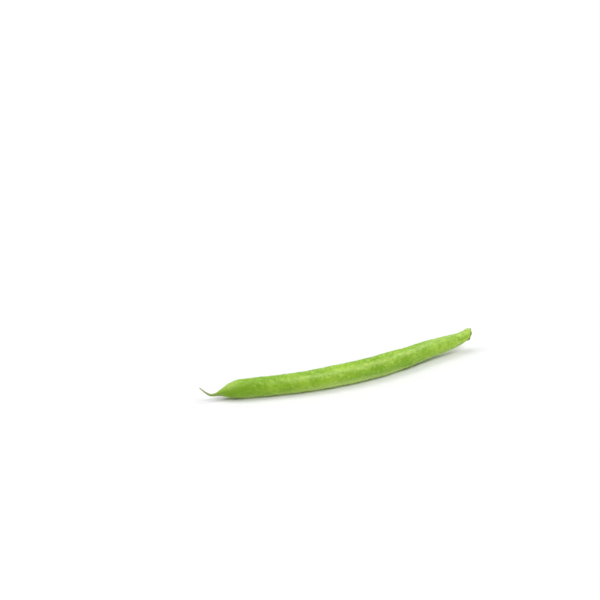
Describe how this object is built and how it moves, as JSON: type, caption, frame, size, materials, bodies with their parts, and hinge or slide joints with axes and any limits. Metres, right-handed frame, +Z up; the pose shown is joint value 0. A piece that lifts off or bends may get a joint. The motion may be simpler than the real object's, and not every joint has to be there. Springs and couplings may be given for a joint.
{
  "type": "green bean",
  "caption": "Fresh green bean lying on a surface, back seam up: a slim curved pod with seams, low seed swellings and a thin hooked beak, and the dried stub of its stalk.",
  "frame": {"origin": "middle of the bean's footprint, on the surface it lies on", "axes": "+X from the beak to the stalk end, +Y towards the hollow side of the bend, +Z up"},
  "size_m": [0.1294, 0.0169, 0.0093],
  "materials": {
    "pod_skin": "smooth fresh bean skin, soft sheen, yellow-green with darker mottling",
    "dried_stalk": "dry, matt, olive brown with a dark broken end"
  },
  "bodies": {
    "root": {"pod": "pod_skin", "stalk_stub": "dried_stalk"}
  },
  "joints": []
}
